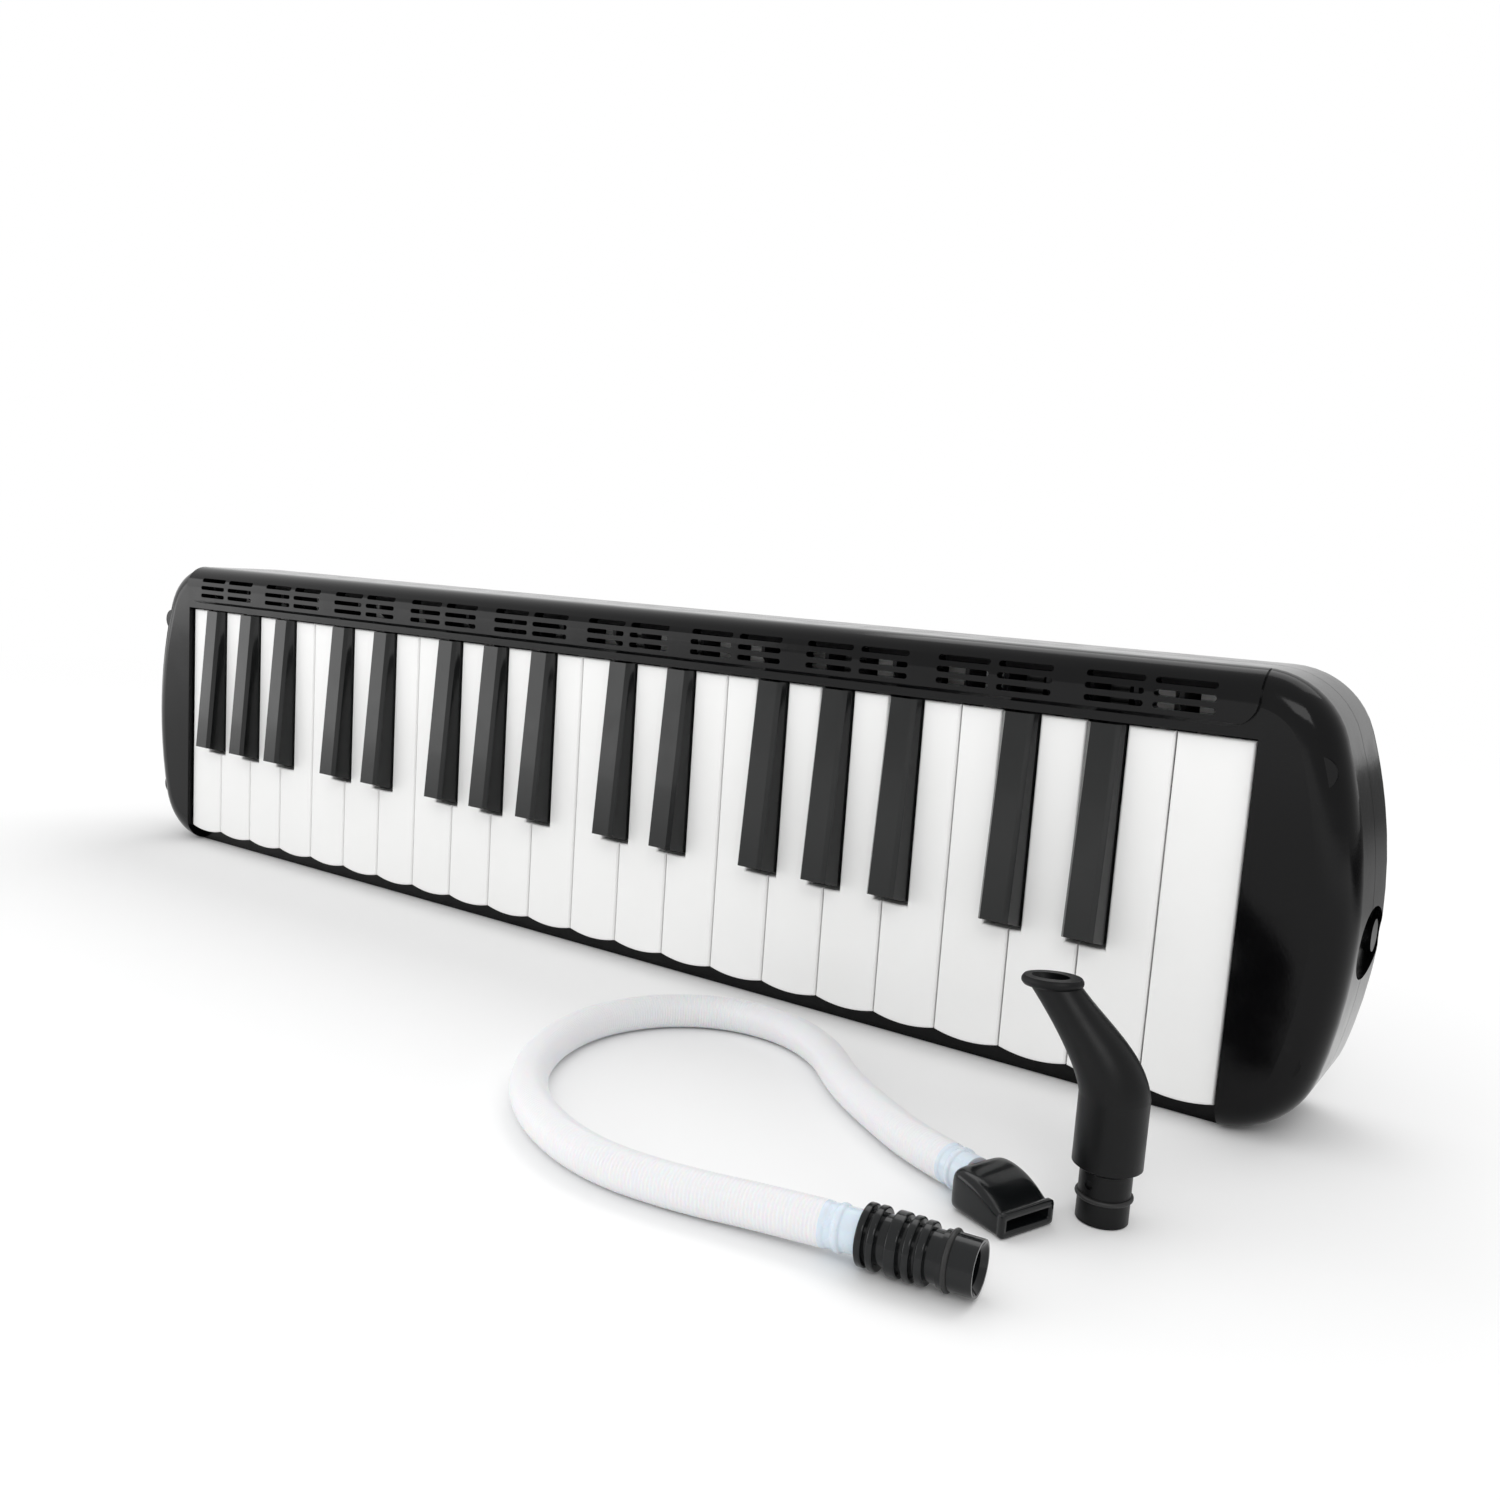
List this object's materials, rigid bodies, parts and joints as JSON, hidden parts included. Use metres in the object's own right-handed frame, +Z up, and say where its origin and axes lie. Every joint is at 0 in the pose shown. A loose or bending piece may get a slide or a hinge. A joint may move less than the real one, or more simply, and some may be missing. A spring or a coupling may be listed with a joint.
{
  "type": "melodica",
  "caption": "Slim wind keyboard standing on its long edge, with a bent short mouthpiece and a hose with a beak mouthpiece and plug.",
  "frame": {"origin": "centre of the flat long edge that the instrument stands on", "axes": "+X along the keyboard towards the high notes, key faces towards -Y, +Z up"},
  "size_m": [0.4801, 0.1864, 0.115],
  "materials": {
    "case_black": "glossy moulded ABS",
    "key_white": "satin white moulded ABS",
    "key_black": "glossy black moulded ABS",
    "inner_plastic": "matt black moulded ABS",
    "steel": "bright steel",
    "spring_steel": "spring steel",
    "felt": "pressed wool felt",
    "reed_plate_metal": "plain rolled sheet",
    "reed_brass": "phosphor bronze, polished",
    "gasket_rubber": "soft closed-cell seal",
    "screw_steel": "black zinc plated steel",
    "strap_webbing": "black woven webbing",
    "mouthpiece_black": "satin black moulded plastic",
    "connector_black": "glossy black moulded plastic",
    "oring_rubber": "black nitrile rubber",
    "hose_white": "soft translucent white plastic"
  },
  "bodies": {
    "case": {"front_shell": "case_black", "back_shell": "case_black", "case_screws": "screw_steel", "key_frame": "inner_plastic", "hinge_shaft": "steel", "key_springs": "spring_steel", "key_felts": "felt", "valve_board": "inner_plastic", "reed_plates": "reed_plate_metal", "reeds": "reed_brass", "chest_gasket": "gasket_rubber", "wind_chest": "inner_plastic", "blow_socket": "inner_plastic", "drain_spring": "spring_steel", "hand_strap": "strap_webbing", "strap_anchors": "case_black"},
    "drain_button": {"drain_button": "case_black"},
    "short_mouthpiece": {"short_mouthpiece": "mouthpiece_black", "short_mouthpiece_oring": "oring_rubber"},
    "hose_set": {"hose": "hose_white", "hose_connector": "connector_black", "hose_connector_oring": "oring_rubber", "hose_mouthpiece": "connector_black"},
    "key_01_f3": {"key_01_f3": "key_white"},
    "key_02_f3_sharp": {"key_02_f3_sharp": "key_black"},
    "key_03_g3": {"key_03_g3": "key_white"},
    "key_04_g3_sharp": {"key_04_g3_sharp": "key_black"},
    "key_05_a3": {"key_05_a3": "key_white"},
    "key_06_a3_sharp": {"key_06_a3_sharp": "key_black"},
    "key_07_b3": {"key_07_b3": "key_white"},
    "key_08_c4": {"key_08_c4": "key_white"},
    "key_09_c4_sharp": {"key_09_c4_sharp": "key_black"},
    "key_10_d4": {"key_10_d4": "key_white"},
    "key_11_d4_sharp": {"key_11_d4_sharp": "key_black"},
    "key_12_e4": {"key_12_e4": "key_white"},
    "key_13_f4": {"key_13_f4": "key_white"},
    "key_14_f4_sharp": {"key_14_f4_sharp": "key_black"},
    "key_15_g4": {"key_15_g4": "key_white"},
    "key_16_g4_sharp": {"key_16_g4_sharp": "key_black"},
    "key_17_a4": {"key_17_a4": "key_white"},
    "key_18_a4_sharp": {"key_18_a4_sharp": "key_black"},
    "key_19_b4": {"key_19_b4": "key_white"},
    "key_20_c5": {"key_20_c5": "key_white"},
    "key_21_c5_sharp": {"key_21_c5_sharp": "key_black"},
    "key_22_d5": {"key_22_d5": "key_white"},
    "key_23_d5_sharp": {"key_23_d5_sharp": "key_black"},
    "key_24_e5": {"key_24_e5": "key_white"},
    "key_25_f5": {"key_25_f5": "key_white"},
    "key_26_f5_sharp": {"key_26_f5_sharp": "key_black"},
    "key_27_g5": {"key_27_g5": "key_white"},
    "key_28_g5_sharp": {"key_28_g5_sharp": "key_black"},
    "key_29_a5": {"key_29_a5": "key_white"},
    "key_30_a5_sharp": {"key_30_a5_sharp": "key_black"},
    "key_31_b5": {"key_31_b5": "key_white"},
    "key_32_c6": {"key_32_c6": "key_white"},
    "key_33_c6_sharp": {"key_33_c6_sharp": "key_black"},
    "key_34_d6": {"key_34_d6": "key_white"},
    "key_35_d6_sharp": {"key_35_d6_sharp": "key_black"},
    "key_36_e6": {"key_36_e6": "key_white"},
    "key_37_f6": {"key_37_f6": "key_white"}
  },
  "joints": [
    {"name": "drain_button_push", "type": "slide", "parent": "case", "child": "drain_button", "axis": [-1, 0, 0], "range_m": [0, 0.0025], "stiffness_N_per_m": 400, "springref_m": -0.003, "deforming": ["drain_spring"]},
    {"name": "short_mouthpiece_lift", "type": "slide", "parent": "case", "child": "short_mouthpiece", "axis": [0, 0, 1], "range_m": [0, 0.06]},
    {"name": "hose_set_lift", "type": "slide", "parent": "case", "child": "hose_set", "axis": [0, 0, 1], "range_m": [0, 0.06]},
    {"name": "key_01_f3_press", "type": "hinge", "parent": "case", "child": "key_01_f3", "pos_m": [0, -0.011, 0.086], "axis": [1, 0, 0], "range_deg": [0, 3.4], "stiffness_Nm_per_rad": 0.3, "springref_deg": -9.74, "deforming": ["key_springs"]},
    {"name": "key_02_f3_sharp_press", "type": "hinge", "parent": "case", "child": "key_02_f3_sharp", "pos_m": [0, -0.011, 0.086], "axis": [1, 0, 0], "range_deg": [0, 4.2], "stiffness_Nm_per_rad": 0.3, "springref_deg": -9.74},
    {"name": "key_03_g3_press", "type": "hinge", "parent": "case", "child": "key_03_g3", "pos_m": [0, -0.011, 0.086], "axis": [1, 0, 0], "range_deg": [0, 3.4], "stiffness_Nm_per_rad": 0.3, "springref_deg": -9.74},
    {"name": "key_04_g3_sharp_press", "type": "hinge", "parent": "case", "child": "key_04_g3_sharp", "pos_m": [0, -0.011, 0.086], "axis": [1, 0, 0], "range_deg": [0, 4.2], "stiffness_Nm_per_rad": 0.3, "springref_deg": -9.74},
    {"name": "key_05_a3_press", "type": "hinge", "parent": "case", "child": "key_05_a3", "pos_m": [0, -0.011, 0.086], "axis": [1, 0, 0], "range_deg": [0, 3.4], "stiffness_Nm_per_rad": 0.3, "springref_deg": -9.74},
    {"name": "key_06_a3_sharp_press", "type": "hinge", "parent": "case", "child": "key_06_a3_sharp", "pos_m": [0, -0.011, 0.086], "axis": [1, 0, 0], "range_deg": [0, 4.2], "stiffness_Nm_per_rad": 0.3, "springref_deg": -9.74},
    {"name": "key_07_b3_press", "type": "hinge", "parent": "case", "child": "key_07_b3", "pos_m": [0, -0.011, 0.086], "axis": [1, 0, 0], "range_deg": [0, 3.4], "stiffness_Nm_per_rad": 0.3, "springref_deg": -9.74},
    {"name": "key_08_c4_press", "type": "hinge", "parent": "case", "child": "key_08_c4", "pos_m": [0, -0.011, 0.086], "axis": [1, 0, 0], "range_deg": [0, 3.4], "stiffness_Nm_per_rad": 0.3, "springref_deg": -9.74},
    {"name": "key_09_c4_sharp_press", "type": "hinge", "parent": "case", "child": "key_09_c4_sharp", "pos_m": [0, -0.011, 0.086], "axis": [1, 0, 0], "range_deg": [0, 4.2], "stiffness_Nm_per_rad": 0.3, "springref_deg": -9.74},
    {"name": "key_10_d4_press", "type": "hinge", "parent": "case", "child": "key_10_d4", "pos_m": [0, -0.011, 0.086], "axis": [1, 0, 0], "range_deg": [0, 3.4], "stiffness_Nm_per_rad": 0.3, "springref_deg": -9.74},
    {"name": "key_11_d4_sharp_press", "type": "hinge", "parent": "case", "child": "key_11_d4_sharp", "pos_m": [0, -0.011, 0.086], "axis": [1, 0, 0], "range_deg": [0, 4.2], "stiffness_Nm_per_rad": 0.3, "springref_deg": -9.74},
    {"name": "key_12_e4_press", "type": "hinge", "parent": "case", "child": "key_12_e4", "pos_m": [0, -0.011, 0.086], "axis": [1, 0, 0], "range_deg": [0, 3.4], "stiffness_Nm_per_rad": 0.3, "springref_deg": -9.74},
    {"name": "key_13_f4_press", "type": "hinge", "parent": "case", "child": "key_13_f4", "pos_m": [0, -0.011, 0.086], "axis": [1, 0, 0], "range_deg": [0, 3.4], "stiffness_Nm_per_rad": 0.3, "springref_deg": -9.74},
    {"name": "key_14_f4_sharp_press", "type": "hinge", "parent": "case", "child": "key_14_f4_sharp", "pos_m": [0, -0.011, 0.086], "axis": [1, 0, 0], "range_deg": [0, 4.2], "stiffness_Nm_per_rad": 0.3, "springref_deg": -9.74},
    {"name": "key_15_g4_press", "type": "hinge", "parent": "case", "child": "key_15_g4", "pos_m": [0, -0.011, 0.086], "axis": [1, 0, 0], "range_deg": [0, 3.4], "stiffness_Nm_per_rad": 0.3, "springref_deg": -9.74},
    {"name": "key_16_g4_sharp_press", "type": "hinge", "parent": "case", "child": "key_16_g4_sharp", "pos_m": [0, -0.011, 0.086], "axis": [1, 0, 0], "range_deg": [0, 4.2], "stiffness_Nm_per_rad": 0.3, "springref_deg": -9.74},
    {"name": "key_17_a4_press", "type": "hinge", "parent": "case", "child": "key_17_a4", "pos_m": [0, -0.011, 0.086], "axis": [1, 0, 0], "range_deg": [0, 3.4], "stiffness_Nm_per_rad": 0.3, "springref_deg": -9.74},
    {"name": "key_18_a4_sharp_press", "type": "hinge", "parent": "case", "child": "key_18_a4_sharp", "pos_m": [0, -0.011, 0.086], "axis": [1, 0, 0], "range_deg": [0, 4.2], "stiffness_Nm_per_rad": 0.3, "springref_deg": -9.74},
    {"name": "key_19_b4_press", "type": "hinge", "parent": "case", "child": "key_19_b4", "pos_m": [0, -0.011, 0.086], "axis": [1, 0, 0], "range_deg": [0, 3.4], "stiffness_Nm_per_rad": 0.3, "springref_deg": -9.74},
    {"name": "key_20_c5_press", "type": "hinge", "parent": "case", "child": "key_20_c5", "pos_m": [0, -0.011, 0.086], "axis": [1, 0, 0], "range_deg": [0, 3.4], "stiffness_Nm_per_rad": 0.3, "springref_deg": -9.74},
    {"name": "key_21_c5_sharp_press", "type": "hinge", "parent": "case", "child": "key_21_c5_sharp", "pos_m": [0, -0.011, 0.086], "axis": [1, 0, 0], "range_deg": [0, 4.2], "stiffness_Nm_per_rad": 0.3, "springref_deg": -9.74},
    {"name": "key_22_d5_press", "type": "hinge", "parent": "case", "child": "key_22_d5", "pos_m": [0, -0.011, 0.086], "axis": [1, 0, 0], "range_deg": [0, 3.4], "stiffness_Nm_per_rad": 0.3, "springref_deg": -9.74},
    {"name": "key_23_d5_sharp_press", "type": "hinge", "parent": "case", "child": "key_23_d5_sharp", "pos_m": [0, -0.011, 0.086], "axis": [1, 0, 0], "range_deg": [0, 4.2], "stiffness_Nm_per_rad": 0.3, "springref_deg": -9.74},
    {"name": "key_24_e5_press", "type": "hinge", "parent": "case", "child": "key_24_e5", "pos_m": [0, -0.011, 0.086], "axis": [1, 0, 0], "range_deg": [0, 3.4], "stiffness_Nm_per_rad": 0.3, "springref_deg": -9.74},
    {"name": "key_25_f5_press", "type": "hinge", "parent": "case", "child": "key_25_f5", "pos_m": [0, -0.011, 0.086], "axis": [1, 0, 0], "range_deg": [0, 3.4], "stiffness_Nm_per_rad": 0.3, "springref_deg": -9.74},
    {"name": "key_26_f5_sharp_press", "type": "hinge", "parent": "case", "child": "key_26_f5_sharp", "pos_m": [0, -0.011, 0.086], "axis": [1, 0, 0], "range_deg": [0, 4.2], "stiffness_Nm_per_rad": 0.3, "springref_deg": -9.74},
    {"name": "key_27_g5_press", "type": "hinge", "parent": "case", "child": "key_27_g5", "pos_m": [0, -0.011, 0.086], "axis": [1, 0, 0], "range_deg": [0, 3.4], "stiffness_Nm_per_rad": 0.3, "springref_deg": -9.74},
    {"name": "key_28_g5_sharp_press", "type": "hinge", "parent": "case", "child": "key_28_g5_sharp", "pos_m": [0, -0.011, 0.086], "axis": [1, 0, 0], "range_deg": [0, 4.2], "stiffness_Nm_per_rad": 0.3, "springref_deg": -9.74},
    {"name": "key_29_a5_press", "type": "hinge", "parent": "case", "child": "key_29_a5", "pos_m": [0, -0.011, 0.086], "axis": [1, 0, 0], "range_deg": [0, 3.4], "stiffness_Nm_per_rad": 0.3, "springref_deg": -9.74},
    {"name": "key_30_a5_sharp_press", "type": "hinge", "parent": "case", "child": "key_30_a5_sharp", "pos_m": [0, -0.011, 0.086], "axis": [1, 0, 0], "range_deg": [0, 4.2], "stiffness_Nm_per_rad": 0.3, "springref_deg": -9.74},
    {"name": "key_31_b5_press", "type": "hinge", "parent": "case", "child": "key_31_b5", "pos_m": [0, -0.011, 0.086], "axis": [1, 0, 0], "range_deg": [0, 3.4], "stiffness_Nm_per_rad": 0.3, "springref_deg": -9.74},
    {"name": "key_32_c6_press", "type": "hinge", "parent": "case", "child": "key_32_c6", "pos_m": [0, -0.011, 0.086], "axis": [1, 0, 0], "range_deg": [0, 3.4], "stiffness_Nm_per_rad": 0.3, "springref_deg": -9.74},
    {"name": "key_33_c6_sharp_press", "type": "hinge", "parent": "case", "child": "key_33_c6_sharp", "pos_m": [0, -0.011, 0.086], "axis": [1, 0, 0], "range_deg": [0, 4.2], "stiffness_Nm_per_rad": 0.3, "springref_deg": -9.74},
    {"name": "key_34_d6_press", "type": "hinge", "parent": "case", "child": "key_34_d6", "pos_m": [0, -0.011, 0.086], "axis": [1, 0, 0], "range_deg": [0, 3.4], "stiffness_Nm_per_rad": 0.3, "springref_deg": -9.74},
    {"name": "key_35_d6_sharp_press", "type": "hinge", "parent": "case", "child": "key_35_d6_sharp", "pos_m": [0, -0.011, 0.086], "axis": [1, 0, 0], "range_deg": [0, 4.2], "stiffness_Nm_per_rad": 0.3, "springref_deg": -9.74},
    {"name": "key_36_e6_press", "type": "hinge", "parent": "case", "child": "key_36_e6", "pos_m": [0, -0.011, 0.086], "axis": [1, 0, 0], "range_deg": [0, 3.4], "stiffness_Nm_per_rad": 0.3, "springref_deg": -9.74},
    {"name": "key_37_f6_press", "type": "hinge", "parent": "case", "child": "key_37_f6", "pos_m": [0, -0.011, 0.086], "axis": [1, 0, 0], "range_deg": [0, 3.4], "stiffness_Nm_per_rad": 0.3, "springref_deg": -9.74}
  ]
}
